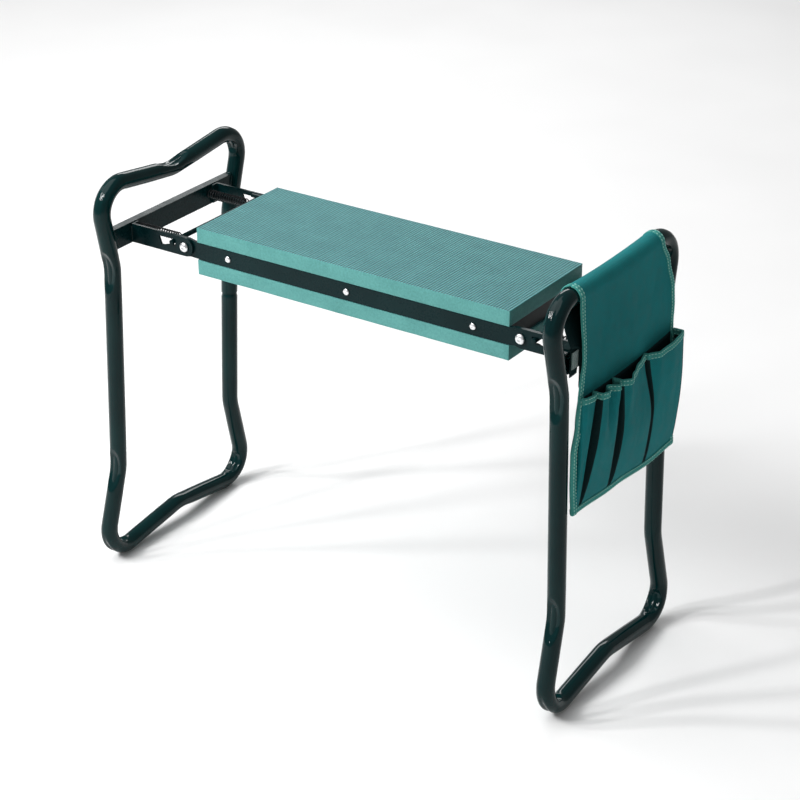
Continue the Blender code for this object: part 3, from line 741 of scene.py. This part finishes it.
def bolt_piece(side_name, end_name, end):
    """Pivot bolt: shouldered domed head with a small driving recess."""
    x = SEAT_X + LEGS[side_name][0] * PIVOT_X
    face = PAD_HALF_Y + GAP + PLATE + FASTENER_GAP
    shank = face - (PAD_HALF_Y - RAIL_THICK - BOLT_TAIL)
    r = BOLT_HEAD_R
    profile = [(BOLT_R - 0.0005, -shank), (BOLT_R, -shank + 0.0005), (BOLT_R, 0.0), (r - 0.0002, 0.0),
               (r, 0.0002), (r, 0.0010)]
    for k in range(1, 9):
        a = math.pi / 2 * k / 9
        profile.append((0.0021 + (r - 0.0021) * math.cos(a), 0.0010 + 0.0024 * math.sin(a)))
    profile += [(0.0021, 0.0034), (0.0018, 0.0033), (0.0012, 0.0030), (0.0005, 0.0029)]
    verts, faces = lathe_mesh(profile, (x, end * face, PIVOT_Z), end, 40)
    name = side_name + "_" + end_name
    ob = make_piece(name + "_bolt", verts, faces, "zinc", "seat", 50)
    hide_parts(name + "_pivot_bolt")


def rivet_piece(end_name, label, x, end):
    """Domed rivet with the dimple its mandrel leaves."""
    face = PAD_HALF_Y + FASTENER_GAP
    r = RIVET_HEAD_R
    profile = [(RIVET_R - 0.0004, -RIVET_DEPTH), (RIVET_R, -RIVET_DEPTH + 0.0008), (RIVET_R, 0.0),
               (r - 0.0002, 0.0), (r, 0.0002), (r, 0.0005)]
    for k in range(1, 7):
        a = math.pi / 2 * k / 7
        profile.append((0.0008 + (r - 0.0008) * math.cos(a), 0.0005 + 0.0011 * math.sin(a)))
    profile += [(0.0007, 0.0015), (0.0003, 0.0013)]
    centre = (SEAT_X + x, end * face, PIVOT_Z + RAIL_MID_H)
    verts, faces = lathe_mesh(profile, centre, end, 28)
    name = end_name + "_" + label
    ob = make_piece(name + "_rivet_head", verts, faces, "zinc", "seat", 50)
    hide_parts(name + "_rivet")


for side_name in ("left", "right"):
    tube_frame(side_name)
    leg_welds(side_name)
    lock_rod(side_name)
    plate_finish(side_name + "_crossbar", "rail", 0.0005)
    for end_name, end in (("front", -1), ("rear", 1)):
        plate_finish(side_name + "_" + end_name + "_bracket", "rail", 0.0004)
        lock_spring(side_name, end_name, end)
        bolt_piece(side_name, end_name, end)
        plate_finish(side_name + "_" + end_name + "_washer", "zinc", 0.0002)
        plate_finish(side_name + "_" + end_name + "_nut", "zinc", 0.0004)
for end_name, end in (("front", -1), ("rear", 1)):
    plate_finish(end_name + "_seat_rail", "rail", 0.0005)
    for label, x in (("left", -RIVET_X), ("mid", 0.0), ("right", RIVET_X)):
        rivet_piece(end_name, label, x, end)
plate_finish("seat_board", "board", 0.0004)
foam_pad("sitting_foam", PAD_TOP_H - PAD_THICK, True, "top_foam_pad")
foam_pad("kneeling_foam", PAD_BOTTOM_H, False, "bottom_foam_pad")


# ---------------- tool bag
FOLD_ROW = 30                    # first row of cloth past the flap
FRONT_HEM = [(-0.180, -0.0985), (-0.130, -0.1015), (-0.100, -0.1010), (-0.070, -0.0930),
             (-0.025, -0.0850), (0.025, -0.0845), (0.065, -0.0860)]
REAR_HEM = [(-0.180, 0.1165), (-0.110, 0.1150), (-0.040, 0.1110), (0.009, 0.1060),
            (0.042, 0.0970), (0.065, 0.0860)]
LOW_HEM = [(-0.100, -0.1680), (-0.022, -0.1735), (0.056, -0.1800), (0.117, -0.1785)]


def handle_h(y):
    """Height of the handle tube's axis across the frame, with its dip in the middle."""
    slope = (TOP_H - HANDLE_MID_H) / HALF_TOP
    ease = BEND_R * math.sin(math.atan(slope)) * 1.1
    if abs(y) < ease:
        return HANDLE_MID_H + slope * (y * y + ease * ease) / (2 * ease)
    return HANDLE_MID_H + slope * abs(y)


def cloth_h(y):
    """Height of the fold's centre: the taut cloth bridges the handle's dip."""
    return handle_h(BAG_TOP_HALF) - SPAN_SAG * (1 - (y / BAG_TOP_HALF) ** 2)


def wrinkle(p, size, depth):
    return depth * noise.fractal(p / size, 0.8, 2.1, 3)


def panel_column(t):
    """Points of the cloth at one share t (-1 to 1) of its width, from flap hem to bottom hem."""
    y_top = t * BAG_TOP_HALF
    dx = FLAP_OUT
    dz = handle_h(y_top) - FLAP_KNEE_H
    r = BAG_R
    length = math.sqrt(dx * dx + dz * dz - r * r)
    lean = math.atan2(dx, dz) + math.atan2(r, length)
    out = []
    knee_h = FLAP_KNEE_H - 0.003
    flap = [(dx, lerp(FLAP_BOTTOM_H, knee_h, k / 10)) for k in range(11)]
    turn_r = 0.006
    for k in range(1, 6):
        a = lean * k / 6
        flap.append((dx - turn_r * (1 - math.cos(a)), knee_h + turn_r * math.sin(a)))
    knee = flap[-1]
    slope_top = (-r * math.cos(lean), handle_h(y_top) - r * math.sin(lean))
    for k in range(1, 10):
        flap.append((lerp(knee[0], slope_top[0], k / 10), lerp(knee[1], slope_top[1], k / 10)))
    for u, h in flap:
        half = lerp(FLAP_HALF, FLAP_WIDE, smooth((h - 0.0105) / 0.005))
        half = lerp(half, BAG_TOP_HALF, smooth((h - 0.030) / 0.028))
        p = Vector((u, t * half, h))
        out.append(p + Vector((wrinkle(p + Vector((3.0, 0, 0)), 0.03, 0.0004), 0, 0)))
    for k in range(5):
        a = lerp(-math.pi / 2 - lean, -math.pi / 2 - lean * 0.3, k / 4)
        out.append(Vector((r * math.sin(a), y_top, handle_h(y_top) + r * math.cos(a))))
    for k in range(15):
        a = lerp(0.15 - math.pi / 2, math.pi / 2, k / 14)
        out.append(Vector((r * math.sin(a), y_top, cloth_h(y_top) + r * math.cos(a))))
    rows = 78
    low = curve(LOW_HEM, t * 0.105)
    for k in range(1, rows + 1):
        f = k / rows
        h = lerp(cloth_h(y_top), low, f)
        y = lerp(curve(FRONT_HEM, h), curve(REAR_HEM, h), (t + 1) / 2)
        # cloth hangs a little slack between the tube and the bottom hem
        slack = 0.0016 * math.sin(math.pi * smooth(f * 1.6)) * (1 - t * t * 0.7)
        folds = wrinkle(Vector((y * 0.9, h * 0.35, 5.0)), 0.034, 0.0011) * smooth(f * 5)
        drag = 0.0009 * math.sin(y / 0.019 + 2.0) * math.exp(-((f - 0.14) / 0.10) ** 2)
        edge_lift = 0.0018 * smooth((abs(t) - 0.82) / 0.18) * smooth(f * 4) * smooth((0.40 - f) * 9)
        calm = 1 - 0.85 * smooth((f - 0.29) * 7)
        u = r + 1.3 * slack * calm + (folds + drag) * calm + edge_lift
        out.append(Vector((max(r, u), y, h)))
    return out


def bag_world(p):
    """World point from (off the right frame's plane, across, above the pivots)."""
    return leg_point("right", p.x, p.y, p.z)


def darken_side(ob, cells, odd):
    """Gives one side of a sheet body the near-black cloth; cells is its count of grid squares."""
    ob.data.materials.append(MATS["dark_cloth_and_shade"])
    for i in range(cells):
        ob.data.polygons[2 * i + odd].material_index = 1


def bag_panel():
    """The cloth over the handle, from the inner flap's hem to the bottom hem, and its grid."""
    cols = 72
    table = [panel_column(-1 + 2 * j / cols) for j in range(cols + 1)]
    rows = [[bag_world(column[k]) for column in table] for k in range(len(table[0]))]
    verts, faces = sheet_mesh(rows, CLOTH_T)
    ob = make_piece("bag_cloth", verts, faces, "cloth", "right_leg")
    darken_side(ob, (len(rows) - 1) * cols, 0)
    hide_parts("tool_bag_panel")
    return ob, rows


# edges across the mouth, across the bottom, puff, half width of the slit beside the next pocket
POCKETS = (
    (-0.0865, -0.0630, -0.0970, -0.0870, 0.0062, 0.0026),
    (-0.0630, -0.0230, -0.0870, -0.0260, 0.0140, 0.0040),
    (-0.0230, 0.0440, -0.0260, 0.0500, 0.0175, 0.0034),
    (0.0440, 0.1105, 0.0500, 0.1155, 0.0140, 0.0004),
)
BELLY = [(0.0, 0.88), (0.10, 0.96), (0.45, 1.0), (0.85, 0.96), (1.0, 0.88)]
MOUTHS = (
    [(0.0, 0.30), (0.30, 0.75), (0.70, 1.0), (1.0, 0.85)],
    [(0.0, 0.80), (0.24, 1.0), (0.56, 0.35), (0.82, 1.0), (1.0, 0.72)],
    [(0.0, 0.68), (0.12, 1.0), (0.36, 0.66), (0.72, 0.30), (1.0, 0.10)],
    [(0.0, 0.32), (0.20, 0.85), (0.55, 1.0), (0.85, 0.94), (1.0, 0.80)],
)
WALL = 0.17                      # share of a pocket's cloth that makes each side wall


def pocket_point(index, f, v):
    """Point of the pocket strip: index of the pocket, share f along its cloth, share v up it."""
    t0, t1, b0, b1, puff, slit = POCKETS[index]
    before = POCKETS[index - 1][5] if index else 0.0004
    left, right = lerp(b0, t0, v), lerp(b1, t1, v)
    lift = math.sin(max(0.0, (v - 0.05) / 0.95) * math.pi / 2) ** 0.75
    depth = puff * lift
    open_slit = 0.45 + 0.75 * math.sin(math.pi * min(1.0, v * 1.05)) ** 0.8
    rim_in, rim_out = before * open_slit + 0.0004, slit * open_slit + 0.0004
    if f < WALL:
        g = f / WALL
        w = curve(BELLY, 0.0) * (1 - v_mouth(v)) + curve(MOUTHS[index], 0.0) * v_mouth(v)
        out = depth * w * math.sin(g * math.pi / 2)
        y = left + lerp(0.0010, rim_in, 1 - (1 - g) ** 2)
        s = 0.0
    elif f > 1 - WALL:
        g = (1 - f) / WALL
        w = curve(BELLY, 1.0) * (1 - v_mouth(v)) + curve(MOUTHS[index], 1.0) * v_mouth(v)
        out = depth * w * math.sin(g * math.pi / 2)
        y = right - lerp(0.0010, rim_out, 1 - (1 - g) ** 2)
        s = 1.0
    else:
        s = (f - WALL) / (1 - 2 * WALL)
        w = curve(BELLY, s) * (1 - v_mouth(v)) + curve(MOUTHS[index], s) * v_mouth(v)
        out = depth * w
        y = lerp(left + rim_in, right - rim_out, s)
    top = POCKET_TOP_H + 0.0050 * (y / 0.11) ** 2
    h = lerp(curve(LOW_HEM, y) + 0.0020, top, v)
    body = smooth(min(s, 1 - s) * 5)
    crumple = wrinkle(Vector((y * 1.1, h * 0.45, 9.0 + index * 3.1)), 0.030, 0.0015) * lift
    pull = 0.0007 * math.sin((h + s * 0.04) / 0.0125 + index * 1.7) * body * smooth(v * 4)
    calm = 1 - 0.6 * smooth((v - 0.85) * 6)
    wall = 0.35 + 0.65 * body
    u = STRIP_U + max(0.0, out + (crumple * wall + pull) * calm * min(1.0, out / 0.004))
    return Vector((u, y, h))


def v_mouth(v):
    """How far a pocket's section at share v up it is the mouth's and not the belly's."""
    return smooth((v - 0.45) / 0.55)


def pocket_shade_sheet():
    """Painted shade: a near-black sheet just off the panel inside the pockets, where their shadow
    falls.
    """
    up, across = 30, 60
    rows = []
    for i in range(up + 1):
        row = []
        for j in range(across + 1):
            f, v = j / across, i / up
            y = lerp(lerp(-0.0950, 0.1135, f), lerp(-0.0855, 0.1090, f), v)
            top = POCKET_TOP_H + 0.0050 * (y / 0.11) ** 2 - 0.0012
            h = lerp(curve(LOW_HEM, y) + 0.0060, top, v)
            row.append(bag_world(Vector((BAG_R + SHADE_SHEET_LIFT, y, h))))
        rows.append(row)
    verts, faces = sheet_mesh(rows, SHADE_SHEET_T)
    return make_piece("pocket_shade_sheet", verts, faces, "dark_cloth_and_shade", "right_leg")


def pocket_strip():
    """The four pockets in one strip of cloth and its grid; its inner face and the walls between
    pockets are near-black, painted shade.
    """
    rows = []
    up = 66
    across = 38
    for i in range(up + 1):
        v = i / up
        row = [pocket_point(index, j / across, v) for index in range(len(POCKETS))
               for j in range(across)]
        row.append(pocket_point(len(POCKETS) - 1, 1.0, v))
        rows.append([bag_world(p) for p in row])
    verts, faces = sheet_mesh(rows, CLOTH_T)
    ob = make_piece("bag_pockets", verts, faces, "cloth", "right_leg")
    cells = len(rows[0]) - 1
    # painted shade: the strip's inner face, and the outer faces of the walls between the pockets, get
    # the near-black cloth so the pocket insides and the slits look shadowed
    darken_side(ob, up * cells, 1)
    for i in range(up * cells):
        share = (i % cells) % across / across
        end_wall = i % cells < across * WALL or i % cells > cells - across * WALL
        if not end_wall and not WALL < share < 1 - WALL - 0.02:
            ob.data.polygons[2 * i].material_index = 1
    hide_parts("tool_bag_pockets")
    return ob, rows


def resample(points, step):
    """The same line with its points a step apart."""
    run = [0.0]
    for a, b in zip(points, points[1:]):
        run.append(run[-1] + (b - a).length)
    n = max(2, round(run[-1] / step))
    out = []
    i = 0
    for k in range(n + 1):
        d = run[-1] * k / n
        while i < len(run) - 2 and run[i + 1] < d:
            i += 1
        span = run[i + 1] - run[i]
        out.append(points[i].lerp(points[i + 1], (d - run[i]) / span if span else 0.0))
    return out


def layers_below(p):
    """1 where the pocket strip lies on the panel at a world point of its hem, else 0."""
    return smooth((PIVOT_Z + POCKET_TOP_H + 0.004 - p.z) / 0.004) if p.x > SEAT_X + PIVOT_X else 0.0


def edge_binding(edge, inner, width, stand, thick, doubled):
    """Tape folded over a cloth edge. edge and inner are matching lines, the hem and one line
    further in; the tape covers both faces, and the pocket strip too where it is sewn in."""
    verts = []
    sides = 10
    for i, (p, q) in enumerate(zip(edge, inner)):
        into = (q - p).normalized()
        t = (edge[min(i + 1, len(edge) - 1)] - edge[max(i - 1, 0)]).normalized()
        n = t.cross(into).normalized()
        if doubled and n.x < 0:
            n = -n
        extra = 0.5 * (STRIP_U - BAG_R) * layers_below(p) if doubled else 0.0
        centre = p + n * extra
        half = stand + extra
        o = half + thick
        ripple = 0.00015 * math.sin(i * 0.9)
        section = [(width, half), (width, o - thick * 0.1), (width * 0.9, o + ripple),
                   (width * 0.25, o), (-0.0004, o * 0.62), (-0.0004, -o * 0.62), (width * 0.25, -o),
                   (width * 0.9, -o - ripple), (width, -o + thick * 0.1), (width, -half)]
        for a, b in section:
            verts.append(centre + into * a + n * b)
    return verts, tube_faces(len(edge), sides) + end_caps(len(edge), sides)


def stitch_row(line, inner, inset, lift, doubled):
    """Thread stitches along a line: short bars that dip into the cloth at both ends."""
    parts = []
    pts = resample(line, STITCH_PITCH)
    ins = resample(inner, STITCH_PITCH)
    for i in range(min(len(pts), len(ins)) - 1):
        p, q = pts[i], pts[i + 1]
        into = (ins[i] - p).normalized()
        t = (q - p).normalized()
        up = t.cross(into).normalized()
        if up.x < 0:
            up = -up
        extra = (STRIP_U - BAG_R) * layers_below(p) if doubled else 0.0
        a = p.lerp(q, 0.14) + into * inset
        b = p.lerp(q, 0.86) + into * inset
        verts = []
        for k in range(5):
            arch = math.sin(math.pi * k / 4) ** 0.6
            c = a.lerp(b, k / 4) + up * (lift + extra + STITCH_R * (0.9 * arch - 0.4))
            r = STITCH_R * (0.45 + 0.55 * arch)
            for m in range(6):
                ang = 2 * math.pi * m / 6
                verts.append(c + into * (r * math.cos(ang)) + up * (r * math.sin(ang)))
        parts.append((verts, tube_faces(5, 6) + end_caps(5, 6)))
    return merge(parts)


def build_bag():
    """Panel, pockets, bound edges and stitching of the tool bag."""
    panel, rows = bag_panel()
    pockets, strip = pocket_strip()
    front = [row[0] for row in rows]
    front_in = [row[3] for row in rows]
    rear = [row[-1] for row in rows]
    rear_in = [row[-4] for row in rows]
    bottom, bottom_in = rows[-1], rows[-5]
    flap, flap_in = rows[0], rows[3]
    stand = CLOTH_T / 2 + 0.0001
    tape = [edge_binding(edge, inner, TAPE_WIDTH, stand, 0.0005, True)
            for edge, inner in ((front[FOLD_ROW:], front_in[FOLD_ROW:]),
                                (rear[FOLD_ROW:], rear_in[FOLD_ROW:]), (bottom, bottom_in))]
    verts, faces = merge(tape)
    binding = make_piece("bag_binding", verts, faces, "tape", "right_leg")
    # painted shade: the tape along the flap, up to where the cloth turns over the handle, is the
    # near-black cloth where the loop shades it
    dark = [edge_binding(edge, inner, TAPE_WIDTH, stand, 0.0005, False)
            for edge, inner in ((front[:FOLD_ROW + 1], front_in[:FOLD_ROW + 1]),
                                (rear[:FOLD_ROW + 1], rear_in[:FOLD_ROW + 1]), (flap, flap_in))]
    verts, faces = merge(dark)
    flap_tape = make_piece("flap_binding", verts, faces, "dark_cloth_and_shade", "right_leg")
    top, top_in = strip[-1], strip[-5]
    verts, faces = edge_binding(top, top_in, MOUTH_TAPE_WIDTH, stand, 0.0004, False)
    mouth = make_piece("pocket_binding", verts, faces, "tape", "right_leg")
    lift = CLOTH_T / 2 + 0.0006
    seams = []
    for line, inner in ((front[FOLD_ROW:], front_in[FOLD_ROW:]),
                        (rear[FOLD_ROW:], rear_in[FOLD_ROW:]), (bottom, bottom_in)):
        for inset in (0.0014, 0.0058):
            seams.append(stitch_row(line, inner, inset, lift, True))
    verts, faces = merge(seams)
    panel_thread = make_piece("bag_stitching", verts, faces, "thread", "right_leg")
    # near-black sheet of painted shade inside the pockets
    dark_cloth_and_shade = pocket_shade_sheet()
    verts, faces = merge([stitch_row(top, top_in, inset, lift, False) for inset in (0.0012, 0.0055)])
    mouth_thread = make_piece("pocket_stitching", verts, faces, "thread", "right_leg")


def bag_strap(end_name, end):
    """Tie strap wrapped round the crossbar, soft corners, its tail hanging, with its patch."""
    t = STRAP_T
    reach = LEGS["right"][1]
    u0 = reach - WEB_IN - GAP
    u1 = reach + CROSSBAR_LIP + GAP
    h = CROSSBAR_HALF_H + GAP
    mid = t / 2
    path = [(u1 + mid, -h - t - STRAP_TAIL), (u1 + mid, -h),
            (u1 + mid, 0.0), (u1 + mid, h - 0.0006), (u1 - 0.0006, h + mid), (reach, h + mid),
            (u0 + 0.0006, h + mid), (u0 - mid, h - 0.0006), (u0 - mid, 0.0), (u0 - mid, -h + 0.0006),
            (u0 + 0.0006, -h - mid), (reach, -h - mid), (u1 - 0.0010, -h - mid)]
    fine = []
    for a, b in zip(path, path[1:]):
        fine += [(lerp(a[0], b[0], k / 4), lerp(a[1], b[1], k / 4)) for k in range(4)]
    fine.append(path[-1])
    rows = []
    for i, (u, z) in enumerate(fine):
        row = []
        for k in range(9):
            f = k / 8
            y = end * STRAP_Y + (f - 0.5) * STRAP_WIDTH
            wob = 0.0002 * math.sin(i * 0.8 + k * 0.5)
            row.append(leg_point("right", u + wob, y, z, False))
        rows.append(row)
    verts, faces = sheet_mesh(rows, CLOTH_T)
    strap = make_piece("strap_" + end_name, verts, faces, "dark_cloth_and_shade", "right_leg", 60)
    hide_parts("tool_bag_" + end_name + "_strap")
    patch_rows = []
    for i in range(13):
        z = lerp(-0.0085, 0.0095, i / 12)
        row = []
        for k in range(11):
            y = end * STRAP_Y + lerp(-0.0061, 0.0061, k / 10)
            fuzz = 0.00025 * noise.noise(Vector((y, z, 0.0)) * 900)
            row.append(leg_point("right", u1 + t + 0.0009 + fuzz, y, z, False))
        patch_rows.append(row)
    verts, faces = sheet_mesh(patch_rows, CLOTH_T)
    patch = make_piece("hook_patch_" + end_name, verts, faces, "hook", "right_leg", 60)
    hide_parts("tool_bag_" + end_name + "_hook_patch")


build_bag()
bag_strap("front", -1)
bag_strap("rear", 1)


# ---------------- floor, light, camera
def add_floor():
    size = FLOOR_HALF
    verts = [(-size, -size, 0), (size, -size, 0), (size, size, 0), (-size, size, 0)]
    mesh = bpy.data.meshes.new("floor")
    mesh.from_pydata(verts, [], [(0, 1, 2, 3)])
    mesh.materials.append(MATS["floor"])
    ob = bpy.data.objects.new("floor", mesh)
    ob.location.z = FLOOR_Z
    bpy.context.scene.collection.objects.link(ob)


def area_light(name, place, target, size, power):
    data = bpy.data.lights.new(name, "AREA")
    data.shape = "RECTANGLE"
    data.size, data.size_y = size
    data.energy = power
    ob = bpy.data.objects.new(name, data)
    ob.location = place
    ob.rotation_euler = (Vector(target) - Vector(place)).to_track_quat("-Z", "Y").to_euler()
    bpy.context.scene.collection.objects.link(ob)


def studio():
    world = bpy.data.worlds.new("studio")
    world.use_nodes = True
    back = world.node_tree.nodes["Background"]
    back.inputs["Color"].default_value = (1.0, 1.0, 1.0, 1.0)
    back.inputs["Strength"].default_value = 0.34
    bpy.context.scene.world = world
    aim = Vector((0.0, 0.0, 0.3))
    area_light("top", (-1.20, -0.80, 3.0), aim, (3.0, 3.0), 64)
    # a row of small bright boxes, up to the left and in front, for the paint's highlights
    middle = aim + Vector((-0.50, -0.58, 0.62)).normalized() * 2.6
    along = Vector((0.757, -0.653, 0.0))
    for k in range(3):
        area_light("key_%d" % (k + 1), middle + along * ((k - 1) * 0.50), aim, (0.16, 0.62), 20)
    area_light("back", (-1.5, 2.3, 1.75), aim, (1.6, 0.7), 20)


def camera():
    """Viewpoint in front and to the right, looking down, through a long lens."""
    data = bpy.data.cameras.new("camera")
    data.sensor_width = 36.0
    data.lens = 98.8
    ob = bpy.data.objects.new("camera", data)
    forward = Vector((-0.5009, 0.7409, -0.4474)).normalized()
    right = forward.cross(Vector((0, 0, 1))).normalized()
    up = right.cross(forward)
    roll = math.radians(-0.18)
    r2 = right * math.cos(roll) + up * math.sin(roll)
    u2 = up * math.cos(roll) - right * math.sin(roll)
    rot = Matrix((r2, u2, -forward)).transposed()
    ob.matrix_world = Matrix.Translation((1.2321, -1.7901, 1.3328)) @ rot.to_4x4()
    bpy.context.scene.collection.objects.link(ob)
    bpy.context.scene.camera = ob


add_floor()
studio()
camera()
scene = bpy.context.scene
scene.view_settings.view_transform = "Standard"
scene.view_settings.look = "None"
